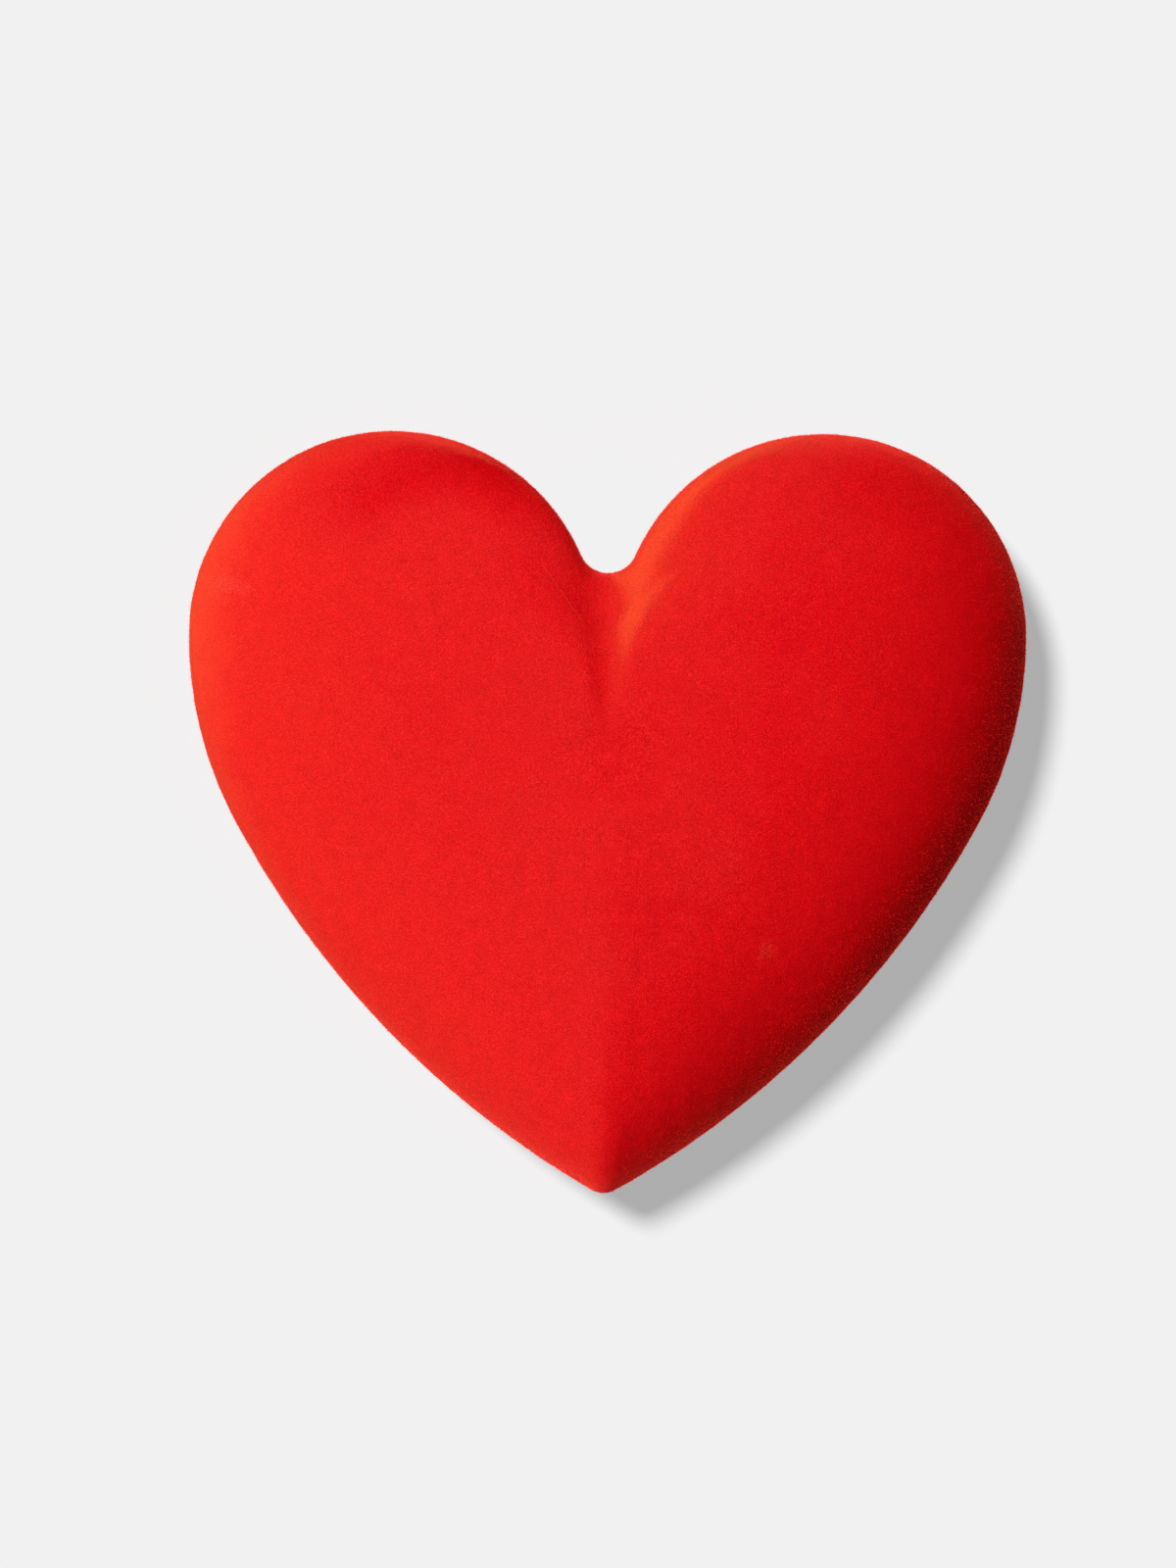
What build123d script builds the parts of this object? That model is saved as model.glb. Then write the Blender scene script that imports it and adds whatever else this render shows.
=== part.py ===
"""Heart-shaped gift box in moulded paper pulp, flocked outside, with a puffed lift-off lid.

The frame is in millimetres with +Z up.  The origin lies under the middle of the outline, on the
surface that the box stands on.  The lobes point to +Y and the tip to -Y.
"""

import os
from math import atan2, cos, degrees, pi, radians, sin, sqrt

from build123d import *

# Heart outline, seen from above: notch, lobe, hip, flank and tip run into each other as arcs
heart_length = 218.2
lobe_radius = 58.4
notch_depth = 40.3
notch_radius = 8.8
hip_radius = 113.0
hip_turn = 28.6
tip_radius = 6.8
tip_least_share = 0.2

# Puffed lid: a short upright wall, then a crown of bands between ever smaller hearts
lid_wall_height = 7.0
crown_height = 45.0
crown_power = 2.6
crown_peak = 22.6
crown_notch_lift = 12.0
crown_tip_round = 40.0
crown_bands = 8
crown_turn_share = 0.8

# Hollow of the lid: the same crown set in by the wall, up to a flat ceiling
lid_wall = 2.9
ceiling_bands = 6
ceiling_turn_share = 0.7

# Base tray
base_height = 22.0
base_floor = 2.6
base_edge_width = 3.4
base_edge_limit_share = 0.7

# Card neck that the lid slips over
lid_clearance = 0.5
glue_gap = 0.15
collar_thickness = 1.0
collar_rise = 8.0
collar_joint_gap = 0.4
tape_width = 24.0
tape_thickness = 0.35
tape_end_gap = 3.0

# Cards glued to the ceiling and the floor, and the sheet under the base
lining_thickness = 0.6
lining_edge_gap = 4.0
floor_card_thickness = 1.2
floor_card_gap = 0.4
sheet_thickness = 1.1
sheet_edge_gap = 1.2

# How far cutting tools run past what they cut
cut_overrun = 4.0

# Derived sizes of the outline
notch_drop = lobe_radius - notch_depth
lobe_offset = sqrt((lobe_radius + notch_radius) ** 2 - (notch_drop + notch_radius) ** 2)
half_width = lobe_offset + lobe_radius
lobe_top = heart_length / 2
tip_bottom = -heart_length / 2
notch_bottom = lobe_top - notch_depth

# Derived insets of the nested walls, all measured in from the outline
collar_inset = lid_wall + lid_clearance
collar_inner_inset = collar_inset + collar_thickness
base_inner_inset = collar_inset - glue_gap
floor_card_inset = collar_inner_inset + floor_card_gap
base_edge = min(base_edge_width, base_edge_limit_share * tip_radius)
sheet_inset = base_edge + sheet_edge_gap

# Derived heights
floor_top = sheet_thickness + base_floor
shoulder = base_height + lid_wall_height
collar_top = base_height + collar_rise


def heart_half(share, inset):
    """Right half of one heart as (centre, radius, start angle, turn) arcs, from notch to tip.

    The share shrinks the heart towards the peak of the crown.  On the way up the notch closes a
    little and the tip grows rounder.  At a share of 1 this is the outline itself, set in.
    """
    fade = share * (1 - share)
    lobe = (lobe_radius - inset) * share
    across = (half_width - inset) * share - lobe
    up = crown_peak + (lobe_top - inset - crown_peak) * share - lobe
    notch_low = crown_peak + (notch_bottom - inset - crown_peak) * share + crown_notch_lift * fade
    drop = notch_low - up
    notch = (across**2 + drop**2 - lobe**2) / (2 * (lobe - drop))
    notch_turn = atan2(up - notch_low - notch, across)
    hip = (hip_radius - inset) * share
    hip_x = across + lobe - hip
    end_x = hip_x + hip * cos(radians(hip_turn))
    end_y = up - hip * sin(radians(hip_turn))
    tip = max(tip_radius - inset, tip_least_share * tip_radius) * share + crown_tip_round * fade
    tip_y = crown_peak + (tip_bottom + inset - crown_peak) * share + tip
    lean = end_x * cos(radians(hip_turn)) - (end_y - tip_y) * sin(radians(hip_turn))
    flank = (end_x**2 + (end_y - tip_y) ** 2 - tip**2) / (2 * (lean - tip))
    flank_x = end_x - flank * cos(radians(hip_turn))
    flank_y = end_y + flank * sin(radians(hip_turn))
    tip_turn = degrees(atan2(tip_y - flank_y, -flank_x))
    notch_end = degrees(notch_turn)
    return [
        ((0, notch_low + notch), notch, -90, notch_end + 90),
        ((across, up), lobe, notch_end + 180, -notch_end - 180),
        ((hip_x, up), hip, 0, -hip_turn),
        ((flank_x, flank_y), flank, -hip_turn, tip_turn + hip_turn),
        ((0, tip_y), tip, tip_turn, -90 - tip_turn),
    ]


def heart(height, inset, share=1.0):
    """One flat heart at a height."""
    with BuildSketch(Plane.XY.offset(height)) as sketch:
        with BuildLine():
            for centre, radius, start, turn in heart_half(share, inset):
                CenterArc(centre, radius, start, turn)
            mirror(about=Plane.YZ)
        make_face()
    return sketch.sketch


def heart_block(low, high, inset, share=1.0):
    """A straight-sided heart between two heights."""
    with BuildPart() as block:
        extrude(heart(low, inset, share), amount=high - low, dir=(0, 0, 1))
    return block.part


def crown_step(turn, inset):
    """Share and height of the crown's heart where its rounded profile has turned this far."""
    share = cos(turn) ** (2 / crown_power)
    return share, shoulder + (crown_height - inset) * sin(turn) ** (2 / crown_power)


def puffed_form(inset, bands, turn_share):
    """The lid's form: an upright wall and the crown over it, cut off flat at the given turn."""
    with BuildPart() as form:
        add(heart_block(base_height, shoulder, inset))
        levels = []
        for band in range(bands + 1):
            share, height = crown_step(pi / 2 * turn_share * band / bands, inset)
            levels.append(heart(height, inset, share))
        loft(levels, ruled=True)
    return form.part


os.makedirs("parts", exist_ok=True)

# Lid: the puffed pulp shell, hollow up to its ceiling
with BuildPart() as lid_shell:
    add(puffed_form(0, crown_bands, crown_turn_share))
    add(puffed_form(lid_wall, ceiling_bands, ceiling_turn_share), mode=Mode.SUBTRACT)
lid_shell.part.label = "lid_shell"
export_step(lid_shell.part, "parts/lid_shell.step")

# Lining: a paper heart glued to the lid's ceiling
ceiling_share, ceiling = crown_step(pi / 2 * ceiling_turn_share, lid_wall)
lid_lining = heart_block(ceiling - lining_thickness, ceiling, lid_wall + lining_edge_gap, ceiling_share)
lid_lining.label = "lid_lining"
export_step(lid_lining, "parts/lid_lining.step")

# Base: a pulp tray with its lower edge taken off
with BuildPart() as base_shell:
    add(heart_block(sheet_thickness, base_height, 0))
    chamfer(base_shell.faces().sort_by(Axis.Z)[0].edges(), base_edge)
    add(heart_block(floor_top, base_height, base_inner_inset), mode=Mode.SUBTRACT)
base_shell.part.label = "base_shell"
export_step(base_shell.part, "parts/base_shell.step")

# Neck: a card band that stands in the tray, with a butt joint on the right flank
joint_centre, joint_radius, joint_start, joint_sweep = heart_half(1.0, collar_inset)[3]
joint_angle = joint_start + joint_sweep / 2
joint_spot = Vector(*joint_centre) + Vector(joint_radius, 0).rotate(Axis.Z, joint_angle)
joint_tool_height = 2 * (collar_top + cut_overrun)
joint_plane = Plane(joint_spot, x_dir=(cos(radians(joint_angle)), sin(radians(joint_angle)), 0))

with BuildPart() as neck_collar:
    add(heart_block(floor_top, collar_top, collar_inset))
    add(heart_block(floor_top, collar_top, collar_inner_inset), mode=Mode.SUBTRACT)
    with Locations(joint_plane.location):
        Box(collar_thickness + cut_overrun, collar_joint_gap, joint_tool_height, mode=Mode.SUBTRACT)
neck_collar.part.label = "neck_collar"
export_step(neck_collar.part, "parts/neck_collar.step")

# Paper tape inside the joint of the neck
tape_inset = collar_inner_inset + glue_gap
tape_tool_depth = 2 * (collar_thickness + glue_gap + tape_thickness + cut_overrun)
with BuildPart() as collar_tape:
    add(heart_block(floor_top + tape_end_gap, collar_top - tape_end_gap, tape_inset))
    add(
        heart_block(floor_top + tape_end_gap, collar_top - tape_end_gap, tape_inset + tape_thickness),
        mode=Mode.SUBTRACT,
    )
    with Locations(joint_plane.location):
        Box(tape_tool_depth, tape_width, joint_tool_height, mode=Mode.INTERSECT)
collar_tape.part.label = "collar_tape"
export_step(collar_tape.part, "parts/collar_tape.step")

# Card on the inside floor and paper sheet under the base
floor_card = heart_block(floor_top, floor_top + floor_card_thickness, floor_card_inset)
floor_card.label = "floor_card"
export_step(floor_card, "parts/floor_card.step")

bottom_sheet = heart_block(0, sheet_thickness, sheet_inset)
bottom_sheet.label = "bottom_sheet"
export_step(bottom_sheet, "parts/bottom_sheet.step")
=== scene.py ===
import math

import bpy
import numpy as np
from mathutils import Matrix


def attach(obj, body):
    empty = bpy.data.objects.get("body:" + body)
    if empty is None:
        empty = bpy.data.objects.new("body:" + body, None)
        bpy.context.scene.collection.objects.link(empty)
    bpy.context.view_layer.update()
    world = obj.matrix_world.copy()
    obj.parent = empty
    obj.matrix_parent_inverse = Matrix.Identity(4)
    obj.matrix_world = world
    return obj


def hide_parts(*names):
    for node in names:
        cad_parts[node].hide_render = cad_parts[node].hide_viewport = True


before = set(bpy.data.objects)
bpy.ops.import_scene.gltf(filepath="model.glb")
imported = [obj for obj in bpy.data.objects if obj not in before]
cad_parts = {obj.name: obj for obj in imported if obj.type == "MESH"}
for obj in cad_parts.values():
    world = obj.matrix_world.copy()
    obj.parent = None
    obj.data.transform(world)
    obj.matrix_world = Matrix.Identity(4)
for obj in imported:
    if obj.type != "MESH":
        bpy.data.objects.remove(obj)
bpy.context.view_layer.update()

# Bottom sheet: a heart of plain dark red paper, die cut and glued under the tray.
# It hides the edge of the flock where the coat turns in, and the box stands on it.
MM = 0.001
LENGTH = 218.2 * MM
LOBE = 58.4 * MM
NOTCH_DEPTH = 40.3 * MM
NOTCH = 8.8 * MM
HIP = 113.0 * MM
HIP_TURN = math.radians(28.6)
TIP = 6.8 * MM
LEAST_TIP = 0.2 * TIP
HALF_WIDTH = LOBE + math.sqrt((LOBE + NOTCH) ** 2 - (LOBE - NOTCH_DEPTH + NOTCH) ** 2)
LOBE_TOP = LENGTH / 2
PEAK = 22.6 * MM
NOTCH_LIFT = 12.0 * MM
TIP_ROUND = 40.0 * MM
ARC_STEPS = (14, 126, 46, 122, 9)
SHEET = 1.1 * MM
SHEET_INSET = 4.6 * MM
SHEET_RED = ((0.34, 0.012, 0.014), (0.26, 0.008, 0.010), (0.46, 0.03, 0.03))
POLE_SHARE = 0.04
SHARP = math.radians(50)


def heart_rings(share, inset, thin=1):
    """Rings of points round the heart, one ring for each share and inset.

    A ring runs from the notch down the right side to the tip and back up the left side, along five
    tangent arcs a side: notch, lobe, hip, flank and tip.  The share shrinks the heart towards the
    crown's peak, with fade = share * (1 - share) lifting the notch and rounding the tip on the way.
    """
    share, inset = np.broadcast_arrays(np.asarray(share, float), np.asarray(inset, float))
    share, inset = share[:, None], inset[:, None]
    fade = share * (1 - share)
    lobe = (LOBE - inset) * share
    across = (HALF_WIDTH - inset) * share - lobe
    up = PEAK + (LOBE_TOP - inset - PEAK) * share - lobe
    low = PEAK + (LOBE_TOP - NOTCH_DEPTH - inset - PEAK) * share + NOTCH_LIFT * fade
    drop = low - up
    notch = (across**2 + drop**2 - lobe**2) / (2 * (lobe - drop))
    notch_end = np.arctan2(up - low - notch, across)
    hip = (HIP - inset) * share
    hip_x = across + lobe - hip
    end_x = hip_x + hip * math.cos(HIP_TURN)
    end_y = up - hip * math.sin(HIP_TURN)
    tip = np.maximum(TIP - inset, LEAST_TIP) * share + TIP_ROUND * fade
    tip_y = PEAK + (inset - LOBE_TOP - PEAK) * share + tip
    lean = end_x * math.cos(HIP_TURN) - (end_y - tip_y) * math.sin(HIP_TURN)
    flank = (end_x**2 + (end_y - tip_y) ** 2 - tip**2) / (2 * (lean - tip))
    flank_x = end_x - flank * math.cos(HIP_TURN)
    flank_y = end_y + flank * math.sin(HIP_TURN)
    tip_turn = np.arctan2(tip_y - flank_y, -flank_x)
    arcs = (
        (0 * up, low + notch, notch, -math.pi / 2 + 0 * up, notch_end),
        (across, up, lobe, notch_end + math.pi, 0 * up),
        (hip_x, up, hip, 0 * up, -HIP_TURN + 0 * up),
        (flank_x, flank_y, flank, -HIP_TURN + 0 * up, tip_turn),
        (0 * up, tip_y, tip, tip_turn, -math.pi / 2 + 0 * up),
    )
    xs, ys = [], []
    for (centre_x, centre_y, radius, start, end), steps in zip(arcs, ARC_STEPS):
        angle = start + (end - start) * np.linspace(0, 1, max(3, steps // thin), endpoint=False)
        xs.append(centre_x + radius * np.cos(angle))
        ys.append(centre_y + radius * np.sin(angle))
    xs.append(0 * up)
    ys.append(tip_y - tip)
    x, y = np.hstack(xs), np.hstack(ys)
    return np.hstack([x, -x[:, -2:0:-1]]), np.hstack([y, y[:, -2:0:-1]])


def heart_grid(profile, thin=1):
    """A grid of points, one row for each step of a profile: rows of share, inset and height."""
    share, inset, height = np.asarray(profile, float)
    x, y = heart_rings(share, inset, thin)
    return np.dstack([x, y, np.broadcast_to(height[:, None], x.shape)])


def path(*runs):
    """One profile from runs of share, inset and height; a single number is spread along its run."""
    spread = []
    for run in runs:
        values = [np.atleast_1d(np.asarray(value, float)) for value in run]
        spread.append(np.stack(np.broadcast_arrays(*values)))
    return np.hstack(spread)


def grid_normals(grid):
    """Unit normals of a grid that closes along its rings: row step crossed with ring step."""
    along = np.roll(grid, -1, 1) - np.roll(grid, 1, 1)
    up = np.gradient(grid, axis=0)
    normal = np.cross(up, along)
    return normal / np.maximum(np.linalg.norm(normal, axis=2, keepdims=True), 1e-12)


def mesh_piece(name, points, faces, material, sharp=None, marks=None):
    """An object from whole arrays of points and of triangle or quad corners.

    Marks are named values for each point, kept as attributes for the material to read.
    """
    mesh = bpy.data.meshes.new(name)
    mesh.from_pydata(points.reshape(-1, 3).tolist(), [], [f for block in faces for f in block.tolist()])
    mesh.polygons.foreach_set("use_smooth", np.ones(len(mesh.polygons), bool))
    if sharp is not None:
        mesh.set_sharp_from_angle(angle=sharp)
    for key, value in (marks or {}).items():
        mark = mesh.attributes.new(key, "FLOAT", "POINT")
        mark.data.foreach_set("value", value.ravel().astype(np.float32))
    mesh.materials.append(material)
    mesh.validate()
    piece = bpy.data.objects.new(name, mesh)
    bpy.context.scene.collection.objects.link(piece)
    return piece


def ring_faces(rows, around, closed=False):
    """Quads between neighbouring rings; closed also joins the last ring to the first."""
    row = np.arange(rows if closed else rows - 1)[:, None]
    step = np.arange(around)[None, :]
    after, above = (step + 1) % around, (row + 1) % rows
    corners = (row * around + step, row * around + after, above * around + after, above * around + step)
    return np.stack(np.broadcast_arrays(*corners), -1).reshape(-1, 4)


def capped_piece(name, grid, material, sharp=None, marks=None):
    """A closed piece from a grid: quads between its rings, and at each end a fan to a pole."""
    rows, around = grid.shape[:2]
    step = np.arange(around)
    after, top = (step + 1) % around, (rows - 1) * around
    first = np.stack([after, step, np.full(around, rows * around)], 1)
    last = np.stack([top + step, top + after, np.full(around, rows * around + 1)], 1)
    poles = np.array([[0, PEAK, grid[0, 0, 2]], [0, PEAK, grid[-1, 0, 2]]])
    points = np.vstack([grid.reshape(-1, 3), poles])
    marks = {key: np.append(value.ravel(), [0.0, 0.0]) for key, value in (marks or {}).items()}
    return mesh_piece(name, points, [ring_faces(rows, around), first, last], material, sharp, marks)


def waves(points, size, seed, count=40):
    """Seeded noise: a sum of plane waves of about the given size, divided to a spread of 1."""
    rng = np.random.default_rng(seed)
    way = rng.normal(size=(count, 3))
    way *= rng.uniform(0.7, 1.5, (count, 1)) / np.linalg.norm(way, axis=1, keepdims=True)
    phase = rng.uniform(0, 2 * math.pi, count)
    flat = points.reshape(-1, 3)
    total = np.zeros(len(flat))
    for k in range(count):
        total += np.sin(flat @ way[k] * (2 * math.pi / size) + phase[k])
    return (total * math.sqrt(2 / count)).reshape(points.shape[:-1])


class Wire:
    """A shader socket. Sums and products of wires add Math nodes to the material's tree."""

    def __init__(self, tree, socket=None):
        self.tree = tree
        self.socket = socket

    def node(self, kind, settings=None, sockets=None, out=0):
        """Adds a node: its settings first, then the values or wires of its sockets."""
        made = self.tree.nodes.new("ShaderNode" + kind)
        for key, value in (settings or {}).items():
            if key == "stops":
                ramp = made.color_ramp.elements
                while len(ramp) < len(value):
                    ramp.new(0.5)
                for stop, (place, colour) in zip(ramp, value):
                    stop.position, stop.color = place, (*colour, 1)
            else:
                setattr(made, key, value)
        for key, value in (sockets or {}).items():
            if isinstance(value, Wire):
                self.tree.links.new(value.socket, made.inputs[key])
            else:
                made.inputs[key].default_value = value
        return Wire(self.tree, made.outputs[out])

    def maths(self, operation, first, second=0.0, clamp=False):
        """A Math node on two values or wires."""
        return self.node("Math", {"operation": operation, "use_clamp": clamp}, {0: first, 1: second})

    def __add__(self, other):
        return self.maths("ADD", self, other)

    def __radd__(self, other):
        return self.maths("ADD", other, self)

    def __sub__(self, other):
        return self.maths("SUBTRACT", self, other)

    def __rsub__(self, other):
        return self.maths("SUBTRACT", other, self)

    def __mul__(self, other):
        return self.maths("MULTIPLY", self, other)

    def __rmul__(self, other):
        return self.maths("MULTIPLY", other, self)

    def clamped(self):
        """The value held between 0 and 1."""
        return self.maths("ADD", self, 0.0, clamp=True)

    def place(self):
        """Object coordinates, in metres."""
        return self.node("TexCoord", out="Object")

    def noise(self, size, detail=2.0, roughness=0.5):
        """Noise from 0 to 1 on object coordinates, with bumps of about the given size in metres."""
        sockets = {"Vector": self.place(), "Scale": 1 / size, "Detail": detail, "Roughness": roughness}
        return self.node("TexNoise", None, sockets)

    def away(self, spot):
        """Distance in metres from a spot, seen from above."""
        plan = self.node("VectorMath", {"operation": "MULTIPLY"}, {0: self.place(), 1: (1, 1, 0)})
        return self.node("VectorMath", {"operation": "DISTANCE"}, {0: plan, 1: (*spot, 0)}, out="Value")

    def streak(self, start, end, width, bend=0.0016, bend_size=0.006):
        """1 on the line between two spots seen from above, 0 a width away; noise bends it a little."""
        part = [self.node("SeparateXYZ", None, {0: self.place()}, out=k) for k in (0, 1)]
        reach = math.dist(start, end)
        way = [(b - a) / reach for a, b in zip(start, end)]
        along = (part[0] - start[0]) * way[0] + (part[1] - start[1]) * way[1]
        aside = (part[1] - start[1]) * way[0] - (part[0] - start[0]) * way[1]
        aside = aside + (self.noise(bend_size) - 0.5) * bend
        inside = along.band(-width, width) * along.band(reach + width, reach - width)
        return self.maths("ABSOLUTE", aside).band(width, 0.4 * width) * inside

    def band(self, low, high):
        """0 at low, 1 at high, smooth between; low may be the larger."""
        settings = {"interpolation_type": "SMOOTHSTEP"}
        return self.node("MapRange", settings, {0: self, 1: low, 2: high, 3: 0.0, 4: 1.0})

    def blend(self, factor, first, second):
        """A colour between two colours or colour wires."""
        ends = [c if isinstance(c, Wire) else (*c, 1) for c in (first, second)]
        return self.node("Mix", {"data_type": "RGBA"}, {0: factor, 6: ends[0], 7: ends[1]}, out=2)

    def bump(self, height, strength, depth):
        """A normal bent by a height from 0 to 1 that stands for a depth in metres."""
        return self.node("Bump", None, {"Strength": strength, "Distance": depth, "Height": height})


def new_material(name, **constants):
    """A material with a Principled shader; constants are set on the shader's own sockets."""
    material = bpy.data.materials.new(name)
    material.use_nodes = True
    shader = material.node_tree.nodes["Principled BSDF"]
    for key, value in constants.items():
        shader.inputs[key.replace("_", " ")].default_value = value
    return material, Wire(material.node_tree), shader


def set_look(shader, wire, **looks):
    """Links what changes over the surface to the shader's sockets."""
    for key, value in looks.items():
        wire.tree.links.new(value.socket, shader.inputs[key.replace("_", " ")])


def paper_material(name, pale, deep, fibre, roughness=0.82):
    """Uncoated paper: soft cloudy colour, short fibres drawn along one way, a fine tooth."""
    material, wire, shader = new_material(name, Roughness=roughness, Specular_IOR_Level=0.25)
    drawn = wire.node("Mapping", None, {"Vector": wire.place(), "Scale": (1.0, 0.22, 1.0)})
    cloud = wire.noise(0.012, 3.0, 0.6)
    sockets = {"Vector": drawn, "Scale": 2600.0, "Detail": 2.0, "Roughness": 0.6}
    hairs = wire.node("TexNoise", None, sockets)
    tooth = wire.noise(0.0006, 2.0, 0.6)
    colour = wire.blend(cloud.band(0.25, 0.75), pale, deep)
    colour = wire.blend(hairs.band(0.6, 0.74) * 0.5, colour, fibre)
    normal = wire.bump(tooth * 0.6 + hairs * 0.6, 0.35, 0.00012)
    set_look(shader, wire, Base_Color=colour, Normal=normal, Roughness=cloud * 0.12 + (roughness - 0.06))
    return material


def card_profile(low, high, edge, inset, share=1.0, rows=14):
    """Profile of a flat card: under face out from its pole, round edge, top face back in."""
    spread = share * np.linspace(POLE_SHARE, 1, rows)
    turn = np.linspace(0, math.pi, 9)[1:-1]
    middle, half = (low + high) / 2, (high - low) / 2
    rim = (share, inset + edge * (1 - np.sin(turn)), middle - half * np.cos(turn))
    return path((spread, inset + edge, low), rim, (spread[::-1], inset + edge, high))


sheet_paper = paper_material("red_sheet_paper", *SHEET_RED)
sheet_profile = card_profile(0.0, SHEET, edge=0.2 * MM, inset=SHEET_INSET)
bottom_sheet = capped_piece("bottom_sheet_paper", heart_grid(sheet_profile, thin=2), sheet_paper, SHARP)
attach(bottom_sheet, "base")
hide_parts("bottom_sheet")

# Base tray: paper pulp pressed in a heated mould, grey-brown and felted, with a flat rim.
# Its inside wall and rim show when the lid is off; outside it carries the flock.
BASE_TOP = 22.0 * MM
BASE_EDGE = 3.4 * MM
FLOCK = 0.7 * MM
FLOCK_GAP = 0.05 * MM
PULP_INSET = FLOCK + FLOCK_GAP
TRAY_INSET = 3.25 * MM
RIM_ROUND = 0.4 * MM
RIM_BAND = 2 * MM
FLOOR_LOW = SHEET + 2.6 * MM
PULP_BROWNS = ((0.34, 0.265, 0.195), (0.25, 0.195, 0.145))
PULP_PALE_FLECK = (0.50, 0.42, 0.33)
PULP_DARK_FLECK = (0.13, 0.10, 0.075)


def pulp_material():
    """Felted pulp: mottled grey-brown, with pale and dark fibre flecks and a lumpy surface."""
    material, wire, shader = new_material("moulded_pulp", Roughness=0.95, Specular_IOR_Level=0.15)
    mottle = wire.noise(0.006, 4.0, 0.65)
    fleck = wire.noise(0.0012, 3.0, 0.7)
    colour = wire.blend(mottle.band(0.3, 0.7), *PULP_BROWNS)
    colour = wire.blend(fleck.band(0.62, 0.72) * 0.6, colour, PULP_PALE_FLECK)
    colour = wire.blend((1 - fleck).band(0.64, 0.76) * 0.5, colour, PULP_DARK_FLECK)
    set_look(shader, wire, Base_Color=colour, Normal=wire.bump(mottle + fleck * 0.5, 0.5, 0.0006))
    return material


pulp = pulp_material()
quarter = np.linspace(0, math.pi / 2, 10)
inward = np.linspace(POLE_SHARE, 1, 14)
edge_inset = PULP_INSET + BASE_EDGE * (1 - np.sin(quarter))
edge_height = SHEET + BASE_EDGE * (1 - np.cos(quarter))
rim_turn = np.linspace(0, math.pi, 9)
rim_middle, rim_half = (PULP_INSET + TRAY_INSET) / 2, (TRAY_INSET - PULP_INSET) / 2
rim_height = BASE_TOP - RIM_ROUND * (1 - np.sin(rim_turn) ** 0.5)
tray_profile = path(
    (inward, edge_inset[0], SHEET),
    (1.0, edge_inset[1:], edge_height[1:]),
    (1.0, rim_middle - rim_half * np.cos(rim_turn), rim_height),
    (1.0, TRAY_INSET, np.linspace(BASE_TOP - RIM_BAND, FLOOR_LOW, 6)),
    (inward[::-1], TRAY_INSET, FLOOR_LOW),
)
base_tray = capped_piece("base_tray_pulp", heart_grid(tray_profile, thin=2), pulp, SHARP)
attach(base_tray, "base")
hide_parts("base_shell")

# Base flock: short red rayon fibres shot upright into wet glue, all round the tray's wall.
# The coat turns in under the rounded lower edge and ends where the bottom sheet begins.
FLOCK_END = SHEET_INSET - FLOCK_GAP
BASE_FIBRES = 30000
FIBRE_LENGTH_MM = (0.2, 0.6)
FIBRE_THICKNESS_MM = (0.045, 0.075)
FIBRE_CORNERS = (0, 2.0944, 4.1888)
FIBRE_ROOT = 0.12 * MM
FIBRE_LEAN = 0.55
FIBRE_SHADED_TO_LIT_REDS = ((0.90, 0.020, 0.016), (0.97, 0.070, 0.036))
FIBRE_THROUGH = 0.45
NAP_DEPTH = 0.05 * MM
SHEEN_RED = (1.0, 0.12, 0.07, 1.0)
TIP_PALE_AND_HIGHLIGHT = (1.0, 0.40, 0.36)
RUBBED_RED = (1.0, 0.14, 0.08)
STREAK_RED = (1.0, 0.20, 0.12)
# Painted light and shade: the coat's colour follows how each slope faces the way the key light comes
# from.
PAINTED_LIGHT_WAY = math.radians(166)
PAINTED_LIGHT_COLOURS = (
    (0.0, (0.37, 0.0012, 0.003)),
    (0.25, (0.72, 0.0015, 0.005)),
    (0.42, (0.82, 0.003, 0.007)),
    (0.52, (0.82, 0.010, 0.011)),
    (0.75, (0.77, 0.016, 0.012)),
    (1.0, (0.82, 0.052, 0.018)),
)
RUBBED = (
    ((-0.1065, 0.0625), 0.009, 0.15),
    ((0.0310, -0.0160), 0.017, 0.05),
    ((0.0447, -0.0379), 0.0031, 0.26),
)
STREAKS = (
    ((-0.0188, 0.0690), (-0.0072, 0.0530), 0.0002, 0.07),
    ((-0.1146, 0.0650), (-0.1030, 0.0640), 0.0020, 0.03),
    ((-0.1128, 0.0624), (-0.1008, 0.0618), 0.0016, 0.03),
)


def fibre_material():
    """Single flock fibres: paler than the coat, painted paler still on slopes facing the key light, and
    letting some light through.
    """
    material, wire, shader = new_material("red_flock_fibres", Roughness=1.0, Specular_IOR_Level=0.0)
    lay = wire.node("Attribute", {"attribute_name": "lay"}, out="Fac") * 0.5 + 0.5
    single = wire.noise(0.0006, 1.0, 0.6).band(0.3, 0.7)
    # Painted light: fibres on slopes facing the key light are painted paler.
    colour = wire.blend(lay * lay * (single * 0.4 + 0.6), *FIBRE_SHADED_TO_LIT_REDS)
    set_look(shader, wire, Base_Color=colour)
    through = wire.node("BsdfTranslucent", None, {"Color": colour})
    surface = Wire(wire.tree, shader.outputs[0])
    mixed = wire.node("MixShader", None, {0: FIBRE_THROUGH, 1: surface, 2: through})
    wire.tree.links.new(mixed.socket, wire.tree.nodes["Material Output"].inputs["Surface"])
    return material


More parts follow.
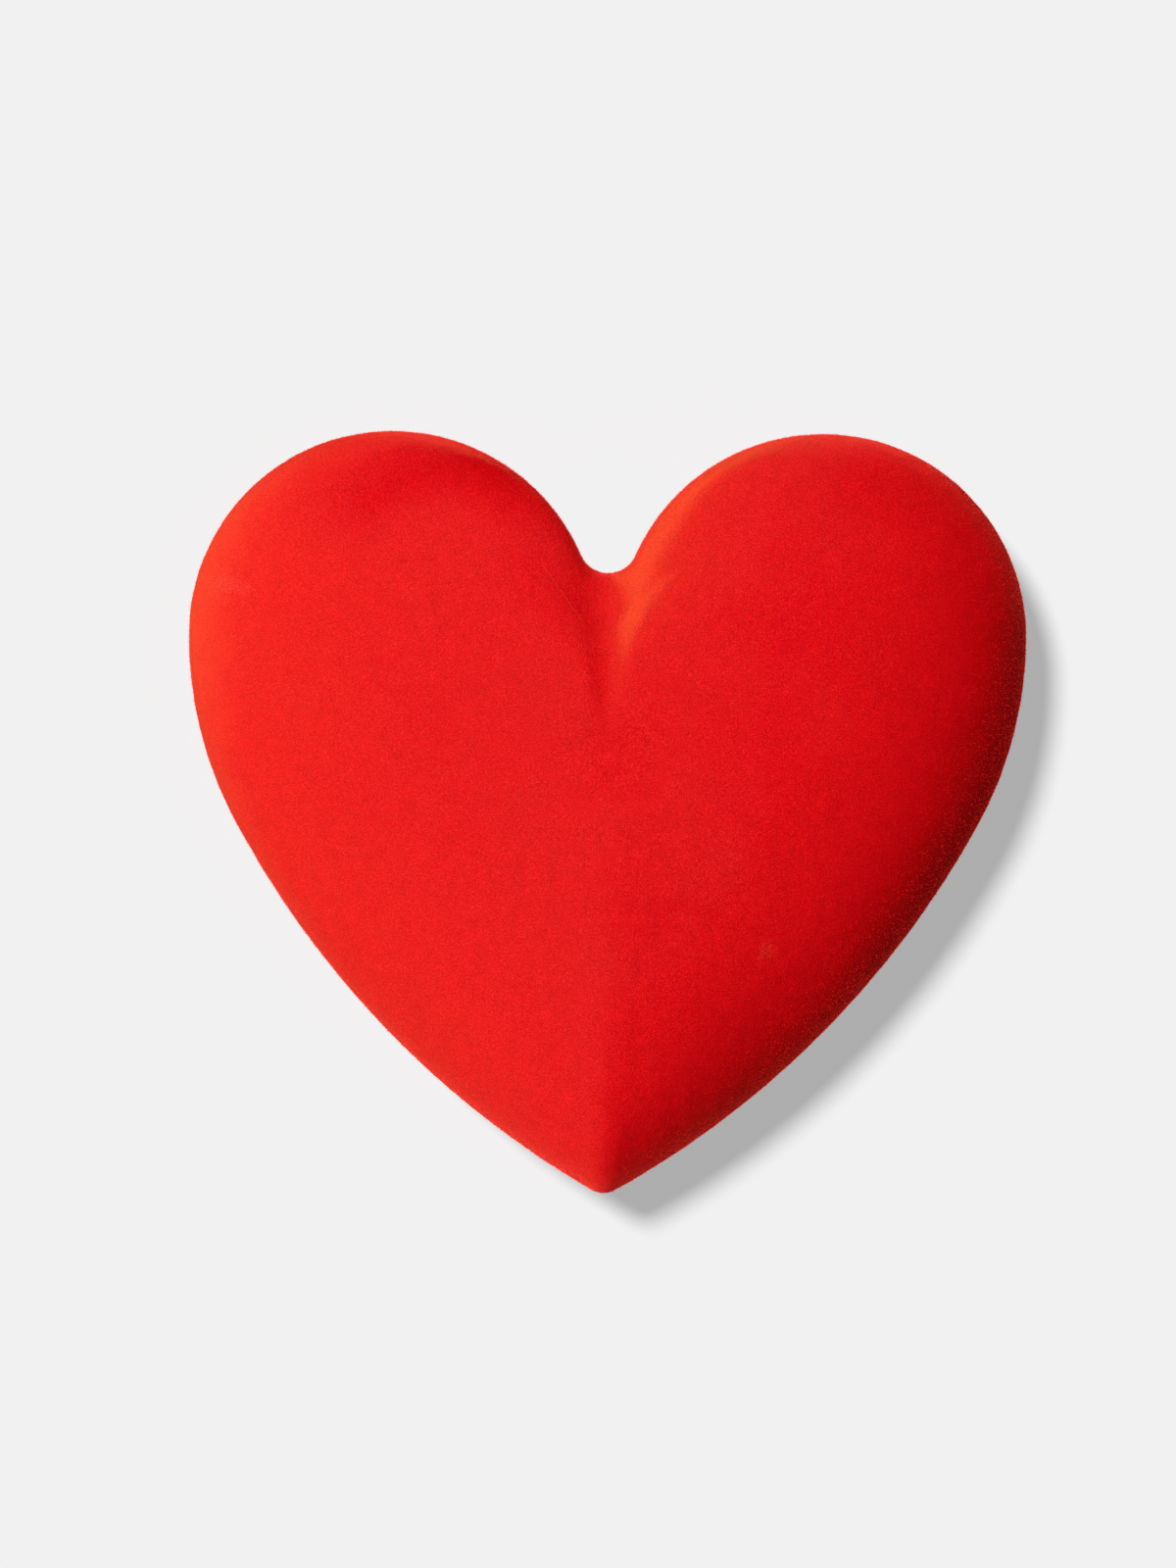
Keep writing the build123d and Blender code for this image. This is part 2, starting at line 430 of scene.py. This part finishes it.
def flock_material():
    """Velvety red flock: speckled fibre tips, clumps, areas brushed one way, and a soft sheen.

    Slopes that face the key light are painted paler and warmer, and slopes turned away from it deep red:
    painted light and shade.  The speckle is single tips; their pale colour shows only on lit slopes, a
    painted highlight.  Rubbed spots and streaks are a little paler, and a band is painted darker as
    shade.
    """
    material, wire, shader = new_material(
        "red_flock",
        Roughness=1.0,
        Specular_IOR_Level=0.0,
        Sheen_Weight=0.70,
        Sheen_Roughness=0.30,
        Sheen_Tint=SHEEN_RED,
    )
    tips = wire.noise(0.00034, 1.0, 0.6)
    clumps = wire.noise(0.0045, 3.0, 0.6)
    brushed = wire.noise(0.034, 2.0, 0.5)
    lay = wire.node("Attribute", {"attribute_name": "lay"}, out="Fac") * 0.5 + 0.5
    # Painted light and shade: the colour is picked by how the slope faces the key light.
    colour = wire.node("ValToRGB", {"stops": PAINTED_LIGHT_COLOURS}, {0: lay + (brushed - 0.5) * 0.2})
    pressed = wire.node("Attribute", {"attribute_name": "pressed"}, out="Fac")
    # Speckle of tips and clumps, then darkened on the painted shade band.
    speckle_and_band_shade = tips.band(0.25, 0.75) * 0.28 + clumps.band(0.25, 0.75) * -0.08 + 0.90
    speckle_and_band_shade = speckle_and_band_shade * (1 - pressed * 0.15)
    colour = wire.node("VectorMath", {"operation": "SCALE"}, {0: colour, "Scale": speckle_and_band_shade})
    # Pale tip speckle, a real grain, shown only on slopes facing the key light as a painted highlight.
    colour = wire.blend(tips.band(0.45, 0.75) * lay.band(0.2, 0.5) * 0.045, colour, TIP_PALE_AND_HIGHLIGHT)
    for spot, size, paler in RUBBED:
        near = (wire.away(spot) + (clumps - 0.5) * (2 * size)).band(size, 0.2 * size)
        colour = wire.blend(near * tips.band(0.4, 0.7) * paler, colour, RUBBED_RED)
    for start, end, width, paler in STREAKS:
        colour = wire.blend(wire.streak(start, end, width) * paler, colour, STREAK_RED)
    normal = wire.bump(tips + clumps * 0.8, 0.55, 0.00045)
    set_look(shader, wire, Base_Color=colour, Normal=normal)
    return material


def light_facing_of(normal):
    """How far a normal faces the way the key light comes from, from -1 to 1, for the painted light and
    shade.
    """
    return normal[..., 0] * math.cos(PAINTED_LIGHT_WAY) + normal[..., 1] * math.sin(PAINTED_LIGHT_WAY)


def nap(grid, depth, seed):
    """Moves a grid along its normals: soft lumps of pile and single-fibre roughness."""
    rng = np.random.default_rng(seed)
    out = 0.5 * depth * waves(grid, 7 * MM, seed + 1) + 0.35 * depth * waves(grid, 2.4 * MM, seed + 2)
    out += 0.45 * depth * rng.normal(size=grid.shape[:2])
    return grid + grid_normals(grid) * np.clip(out, -2.5 * depth, 2.5 * depth)[..., None]


def fibre_coat(name, grid, count, seed, material):
    """Single fibres standing out of a grid: a thin three-sided spike at each spot.

    Spots are drawn with a chance that follows the area of the grid's cells; each spike leans a little
    from the normal there, and its length and thickness vary.
    """
    rng = np.random.default_rng(seed)
    normal = grid_normals(grid)
    cell = np.cross(grid[1:] - grid[:-1], (np.roll(grid, -1, 1) - grid)[:-1])
    area = np.linalg.norm(cell, axis=2)
    pick = np.searchsorted(np.cumsum(area.ravel()) / area.sum(), rng.uniform(size=count))
    row, step = np.divmod(np.minimum(pick, area.size - 1), grid.shape[1])
    after = (step + 1) % grid.shape[1]
    u, v = rng.uniform(size=(2, count, 1))
    spot = (1 - v) * ((1 - u) * grid[row, step] + u * grid[row, after])
    spot += v * ((1 - u) * grid[row + 1, step] + u * grid[row + 1, after])
    way = normal[row, step] + FIBRE_LEAN * rng.normal(size=(count, 3))
    way /= np.linalg.norm(way, axis=1, keepdims=True)
    side = np.cross(way, rng.normal(size=(count, 3)))
    side /= np.linalg.norm(side, axis=1, keepdims=True)
    other = np.cross(way, side)
    thick = rng.uniform(*FIBRE_THICKNESS_MM, (count, 1)) * MM
    foot = spot - FIBRE_ROOT * normal[row, step]
    corners = [foot + thick * (math.cos(turn) * side + math.sin(turn) * other) for turn in FIBRE_CORNERS]
    point = spot + way * rng.uniform(*FIBRE_LENGTH_MM, (count, 1)) * MM
    points = np.stack([*corners, point], 1)
    base = 4 * np.arange(count)[:, None]
    faces = [base + np.array([[a, b, c]]) for a, b, c in ((0, 1, 3), (1, 2, 3), (2, 0, 3), (0, 2, 1))]
    lay = np.repeat(light_facing_of(normal[row, step]), 4)
    return mesh_piece(name, points, faces, material, marks={"lay": lay})


flock = flock_material()
flock_fibres = fibre_material()
outer_inset = BASE_EDGE * (1 - np.sin(quarter))
base_profile = path(
    (1.0, np.linspace(FLOCK_END, BASE_EDGE, 5)[:-1], SHEET),
    (1.0, outer_inset, edge_height),
    (1.0, 0.0, np.linspace(SHEET + BASE_EDGE, BASE_TOP - RIM_ROUND, 18)[1:]),
    (1.0, RIM_ROUND * (1 - np.cos(quarter[2::2])), BASE_TOP - RIM_ROUND * (1 - np.sin(quarter[2::2]))),
    (1.0, FLOCK, np.linspace(BASE_TOP, SHEET + BASE_EDGE, 4)),
    (1.0, FLOCK + outer_inset[-2::-1], FLOCK + edge_height[-2::-1]),
    (1.0, FLOCK_END, SHEET + FLOCK),
)
base_grid = heart_grid(base_profile)
base_outside = slice(3, 31)
# Painted light and shade on the base coat, by how each slope faces the key light.
base_light_facing = light_facing_of(grid_normals(base_grid))
base_grid[base_outside] = nap(base_grid[base_outside], NAP_DEPTH, seed=11)
base_faces = [ring_faces(*base_grid.shape[:2], closed=True)]
base_marks = {"lay": base_light_facing, "pressed": 0 * base_light_facing}
base_flock = mesh_piece("base_flock_coat", base_grid, base_faces, flock, marks=base_marks)
base_fibres = fibre_coat("base_flock_fibres", base_grid[base_outside], BASE_FIBRES, 12, flock_fibres)
for piece in (base_flock, base_fibres):
    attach(piece, "base")
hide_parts("base_shell")

# Floor card: ivory card cut to the heart and glued on the tray's floor.
# Its edge stops just short of the neck.
FLOOR_CARD = 1.2 * MM
COLLAR_INSET = 3.4 * MM
COLLAR = 1.0 * MM
CARD_GAP = 0.4 * MM
CARD_IVORY = ((0.80, 0.735, 0.62), (0.74, 0.665, 0.545), (0.66, 0.58, 0.46))
card = paper_material("ivory_card", *CARD_IVORY, 0.7)
card_inset = COLLAR_INSET + COLLAR + CARD_GAP
floor_profile = card_profile(FLOOR_LOW, FLOOR_LOW + FLOOR_CARD, edge=0.25 * MM, inset=card_inset)
floor_card = capped_piece("floor_card_ivory", heart_grid(floor_profile, thin=2), card, SHARP)
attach(floor_card, "base")
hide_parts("floor_card")

# Neck: a band of the same card bent round inside the tray and glued to its wall.
# It stands above the rim, where the lid slips over it; paper tape joins its ends on the right flank.
TAPE_WHITE = ((0.84, 0.80, 0.72), (0.80, 0.75, 0.66), (0.70, 0.64, 0.54))
tape_paper = paper_material("gummed_tape", *TAPE_WHITE, 0.75)
for node, paper in (("neck_collar", card), ("collar_tape", tape_paper)):
    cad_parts[node].data.materials.clear()
    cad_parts[node].data.materials.append(paper)

# Lid shell: the same moulded pulp, puffed up into a crown, bare and hollow inside.
# The hollow follows the crown up to a flat ceiling.
SHOULDER = BASE_TOP + 7.0 * MM
CROWN = 45.0 * MM
CROWN_POWER = 2.6
LID_WALL = 2.9 * MM
CEILING_TURN = math.radians(63)
PULP_TOP_TURN = math.radians(88.0)


def crown_run(inset, turns):
    """A run up the crown: share = cos(turn) ** (2 / power), and the rise the same with sin."""
    rise = (CROWN - inset) * np.sin(turns) ** (2 / CROWN_POWER)
    return np.cos(turns) ** (2 / CROWN_POWER), inset, SHOULDER + rise


ceiling_share, _, ceiling = crown_run(LID_WALL, CEILING_TURN)
lid_rim = np.linspace(math.pi, 0, 9)
lid_middle, lid_half = (PULP_INSET + LID_WALL) / 2, (LID_WALL - PULP_INSET) / 2
lid_rim_height = BASE_TOP + RIM_ROUND * (1 - np.sin(lid_rim) ** 0.5)
lid_profile = path(
    (ceiling_share * inward, LID_WALL, ceiling),
    crown_run(LID_WALL, np.linspace(CEILING_TURN, 0, 24)[1:]),
    (1.0, LID_WALL, np.linspace(SHOULDER, BASE_TOP + RIM_BAND, 4)[1:]),
    (1.0, lid_middle - lid_half * np.cos(lid_rim), lid_rim_height),
    (1.0, PULP_INSET, np.linspace(BASE_TOP + RIM_BAND, SHOULDER, 4)),
    crown_run(PULP_INSET, np.linspace(0, PULP_TOP_TURN, 24)[1:]),
)
lid_shell = capped_piece("lid_shell_pulp", heart_grid(lid_profile, thin=2), pulp, SHARP)
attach(lid_shell, "lid")
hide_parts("lid_shell")

# Lid lining: a heart of thin ivory paper pasted to the lid's ceiling.
# It is cut smaller than the ceiling, so the pulp shows round it.
LINING = 0.6 * MM
LINING_GAP = 4.0 * MM
LINING_IVORY = ((0.82, 0.765, 0.66), (0.78, 0.715, 0.60), (0.70, 0.63, 0.52))
lining = paper_material("ivory_lining", *LINING_IVORY, 0.85)
lining_inset = LID_WALL + LINING_GAP
lining_profile = card_profile(ceiling - LINING, ceiling, 0.15 * MM, lining_inset, ceiling_share)
lid_lining = capped_piece("lid_lining_paper", heart_grid(lining_profile, thin=2), lining, SHARP)
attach(lid_lining, "lid")
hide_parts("lid_lining")

# Lid flock: the same red coat over the puffed crown, with its cleft, ridge and soft shoulder.
# The pile is brushed about a little by handling, and stands out as fuzz along the outline.
FLOCK_TOP_TURN = math.radians(88.6)
FOLD = 4.0 * MM
CREASE = 0.6 * MM
CREASE_ENDS = ((20 * MM, 36 * MM), (60 * MM, 42 * MM))
CREST = 0.18 * MM
CREST_ENDS = ((-40 * MM, -85 * MM), (-108 * MM, -98 * MM))
DIP = 0.5 * MM
DIP_SPOT = (-60.4 * MM, 95.0 * MM)
DIP_SIZE = (20 * MM, 6 * MM)
FLANK_STEPS = (104, 28)
FLANK_SHARES = (0.56, 0.84)
FLANK_FULL = 0.96
TIP_STEPS = (250, 300)
TIP_SHARES = (0.5, 0.9)
TIP_FULL = 0.2
DRAFT = 0.95
CLEFT_REACH = 5
CLEFT_STEPS = (56, 28)
CLEFT_SHARES = ((0.2, 0.4), (0.82, 0.68))
# Painted light in the cleft: the right flank's painted highlight is raised and the left flank's painted
# shade eased.
CLEFT_LIGHT_SHARES = (0.1, 0.4)
CLEFT_LIGHT_RIGHT = 1.3
CLEFT_LIGHT_LEFT = -0.6
# Painted shade: a band under the left lobe's rim is painted darker.
BAND_SHADE_STEPS = ((112, 86), (24, 52))
BAND_SHADE_SHARES = ((0.62, 0.78), (0.95, 0.85))
BAND_SHADE_LIGHT_LOSS = 0.45
LID_FIBRES = 48000


def between(value, low, high):
    """0 at low, 1 at high, smooth between; low may be the larger."""
    step = np.clip((value - low) / (high - low), 0, 1)
    return step * step * (3 - 2 * step)


def within(value, start, end):
    """1 inside two soft ends, each given by where it is 0 and where it is 1, and 0 outside them."""
    return between(value, *start) * between(value, *end)


def crown_relief(grid):
    """Small heights on the crown: a crease in the cleft, a crest over the tip, a dip in the left lobe.

    crease = -exp(-(x / fold)^2) and crest = exp(-|x| / fold) along the middle line, each faded out
    along y; dip = -exp(-(dx / a)^2 - (dy / b)^2).
    """
    x, y = grid[..., 0], grid[..., 1]
    crease = np.exp(-((x / FOLD) ** 2)) * within(y, *CREASE_ENDS)
    crest = np.exp(-np.abs(x) / FOLD) * within(y, *CREST_ENDS)
    dip = np.exp(-(((x - DIP_SPOT[0]) / DIP_SIZE[0]) ** 2) - ((y - DIP_SPOT[1]) / DIP_SIZE[1]) ** 2)
    return CREST * crest - CREASE * crease - DIP * dip


def fuller(grid, share):
    """Moves the crown's rows out towards its rim, where the wall is taller, and rounds the cleft.

    Rows move towards a wall that leans in by its draft, almost all the way on the notch's flanks and
    less by the tip.  In the cleft each point goes to a bell-weighted mean of its neighbours along the
    ring.  Also gives a scale for the painted light there: a stronger painted highlight on the right
    flank, weaker painted shade on the left.
    """
    around = grid.shape[1]
    index = np.arange(around)
    step = np.minimum(index, around - index)
    flank = between(step, *FLANK_STEPS)
    out = np.outer(between(share, *FLANK_SHARES), FLANK_FULL * flank)
    out += np.outer(between(share, *TIP_SHARES), TIP_FULL * between(step, *TIP_STEPS))
    lean = 1 - DRAFT * (grid[..., 2:] - SHOULDER).clip(0)
    moved = grid.copy()
    moved[..., :2] += out[..., None] * (grid[:1, :, :2] * lean - grid[..., :2])
    offsets = np.arange(-4 * CLEFT_REACH, 4 * CLEFT_REACH + 1)
    bell = np.exp(-0.5 * (offsets / CLEFT_REACH) ** 2)
    bell /= bell.sum()
    mean = sum(weight * np.roll(moved, offset, 1) for offset, weight in zip(offsets, bell))
    cleft = np.outer(within(share, *CLEFT_SHARES), between(step, *CLEFT_STEPS))
    moved += cleft[..., None] * (mean - moved)
    cleft_light_scale = np.where(index < around // 2, CLEFT_LIGHT_RIGHT, CLEFT_LIGHT_LEFT) * flank
    return moved, np.outer(between(share, *CLEFT_LIGHT_SHARES), cleft_light_scale)


def band_shade_mask(grid, share):
    """1 on a band inside the left lobe's rim, which is painted darker as painted shade, and 0 elsewhere.
    """
    left = grid.shape[1] - np.arange(grid.shape[1])
    return np.outer(within(share, *BAND_SHADE_SHARES), within(left, *BAND_SHADE_STEPS))


flock_profile = path(
    crown_run(FLOCK, np.linspace(PULP_TOP_TURN, 0, 12)),
    (1.0, FLOCK, BASE_TOP),
    (1.0, RIM_ROUND * (1 - np.cos(quarter[::-2])), BASE_TOP + RIM_ROUND * (1 - np.sin(quarter[::-2]))),
    (1.0, 0.0, np.linspace(BASE_TOP + RIM_ROUND, SHOULDER, 7)[1:-1]),
    crown_run(0.0, np.linspace(0, 1, 92) * FLOCK_TOP_TURN),
)
lid_grid = heart_grid(flock_profile)
lid_outside = slice(18, None)
outside_share = flock_profile[0][lid_outside]
lid_grid[lid_outside], cleft_light_scale = fuller(lid_grid[lid_outside], outside_share)
lid_grid[lid_outside, :, 2] += crown_relief(lid_grid[lid_outside])
# Painted light and shade on the lid coat, by how each slope faces the key light.
lid_light_facing = light_facing_of(grid_normals(lid_grid))
# Painted light in the cleft: scales the light-facing value on the flanks.
same_way = (lid_light_facing[lid_outside] > 0) == (cleft_light_scale > 0)
lid_light_facing[lid_outside] *= 1 + cleft_light_scale * same_way
# Painted shade: the band under the left lobe's rim, darker colour and less painted light.
pressed = 0 * lid_light_facing
pressed[lid_outside] = band_shade_mask(lid_grid[lid_outside], outside_share)
lid_light_facing -= BAND_SHADE_LIGHT_LOSS * pressed
lid_grid[lid_outside] = nap(lid_grid[lid_outside], NAP_DEPTH, seed=21)
lid_flock = capped_piece("lid_flock_coat", lid_grid, flock, marks={"lay": lid_light_facing, "pressed": pressed})
lid_fibres = [
    fibre_coat(f"lid_flock_fibres_{k}", lid_grid[lid_outside], LID_FIBRES, 22 + k, flock_fibres)
    for k in range(2)
]
for piece in (lid_flock, *lid_fibres):
    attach(piece, "lid")
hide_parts("lid_shell")

# Floor: a plain pale sheet that keeps the box's soft shadow.
# It has its own lamp, and a glow that lifts it to an even pale grey; other rays see less of the glow.
# Inside the notch a disc is painted light: it glows paper white and reflects nothing, so no shadow
# shows.
FLOOR_HALF = 8.0
FLOOR_LEVEL = -0.05 * MM
FLOOR_GREY = (0.06, 0.06, 0.06)
FLOOR_GLOW = 0.42
FLOOR_BOUNCE = 0.35
PAPER = 0.88
# Painted light: a disc in the notch that glows paper white over the box's shadow.
NOTCH_GLOW_SPOT = (0, 0.080)
NOTCH_GLOW_EDGE = (0.028, 0.024)
floor_mesh = bpy.data.meshes.new("floor")
corners = np.array([(-1, -1), (1, -1), (1, 1), (-1, 1)]) * FLOOR_HALF
floor_mesh.from_pydata([(x, y, FLOOR_LEVEL) for x, y in corners.tolist()], [], [(0, 1, 2, 3)])
floor = bpy.data.objects.new("floor", floor_mesh)
bpy.context.scene.collection.objects.link(floor)
floor_material, wire, shader = new_material("floor_grey", Roughness=1.0, Specular_IOR_Level=0.0)
# Painted light: the notch disc glows paper white and reflects nothing, hiding the shadow there.
clear = wire.away(NOTCH_GLOW_SPOT).band(*NOTCH_GLOW_EDGE)
lift = wire.node("LightPath", out="Is Camera Ray") * (FLOOR_GLOW - FLOOR_BOUNCE) + FLOOR_BOUNCE
lift = lift * (1 - clear) + clear * PAPER
glow = wire.node("Emission", None, {"Color": lift, "Strength": 1.0})
set_look(shader, wire, Base_Color=wire.blend(clear, FLOOR_GREY, (0, 0, 0)))
lifted = wire.node("AddShader", None, {0: Wire(wire.tree, shader.outputs[0]), 1: glow})
wire.tree.links.new(lifted.socket, wire.tree.nodes["Material Output"].inputs["Surface"])
floor_mesh.materials.append(floor_material)

# Light: a soft key from the left and three low lamps round the box, one straight above for the fuzz,
# and one from the upper left for the floor, which the tray alone shades.  The room itself is dim.
ROOM = 0.01


def soft_sun(name, azimuth, height, spread, strength, lit, shading=()):
    """A far soft lamp from the given azimuth and height in degrees, for the given objects alone.

    The objects that shade it may be given too; otherwise all do.
    """
    data = bpy.data.lights.new(name, "SUN")
    data.energy = strength
    data.angle = math.radians(spread)
    lamp = bpy.data.objects.new(name, data)
    lamp.rotation_euler = (math.radians(90 - height), 0, math.radians(azimuth + 90))
    bpy.context.scene.collection.objects.link(lamp)
    group = bpy.data.collections.new(name + "_lit")
    for each in lit:
        group.objects.link(each)
    lamp.light_linking.receiver_collection = group
    if shading:
        blockers = bpy.data.collections.new(name + "_shading")
        for each in shading:
            blockers.objects.link(each)
        lamp.light_linking.blocker_collection = blockers


box_pieces = [o for o in bpy.context.scene.objects if o.type == "MESH" and o is not floor]
fuzz = [base_fibres, *lid_fibres]
soft_sun("box_key", azimuth=159, height=57, spread=24, strength=2.62, lit=box_pieces)
soft_sun("box_low_left", azimuth=220, height=20, spread=30, strength=1.0, lit=box_pieces)
soft_sun("box_low_top", azimuth=98, height=28, spread=30, strength=0.88, lit=box_pieces)
soft_sun("box_low_right", azimuth=-48, height=20, spread=30, strength=0.20, lit=box_pieces)
soft_sun("fuzz_top", azimuth=0, height=90, spread=12, strength=5.5, lit=fuzz)
tray = [base_flock, base_tray]
soft_sun("floor_key", azimuth=136, height=50.4, spread=14.5, strength=31.0, lit=[floor], shading=tray)
world = bpy.data.worlds.new("room")
world.use_nodes = True
wire = Wire(world.node_tree)
rays = [wire.node("LightPath", out=k) for k in ("Is Camera Ray", "Is Glossy Ray", "Is Transmission Ray")]
plain = (rays[0] + rays[1] + rays[2]).clamped()
background = world.node_tree.nodes["Background"]
background.inputs["Color"].default_value = (1, 1, 1, 1)
world.node_tree.links.new((plain * (PAPER - ROOM) + ROOM).socket, background.inputs["Strength"])
bpy.context.scene.world = world

# Camera: straight above the box, turned a little, as the picture was taken.
# The picture's height is measured a little above the tray's rim.
PICTURE_HEIGHT = 0.4525
PICTURE_LEVEL = BASE_TOP + 4 * MM
PICTURE_MIDDLE = (-0.0053, 0.0082)
PICTURE_TURN = math.radians(0.41)
LENS = 85.0
SENSOR = 36.0
camera_data = bpy.data.cameras.new("camera")
camera_data.lens = LENS
camera_data.sensor_width = SENSOR
camera = bpy.data.objects.new("camera", camera_data)
camera.location = (*PICTURE_MIDDLE, PICTURE_LEVEL + PICTURE_HEIGHT * LENS / SENSOR)
camera.rotation_euler = (0, 0, PICTURE_TURN)
bpy.context.scene.collection.objects.link(camera)
bpy.context.scene.camera = camera
bpy.context.scene.view_settings.view_transform = "Standard"
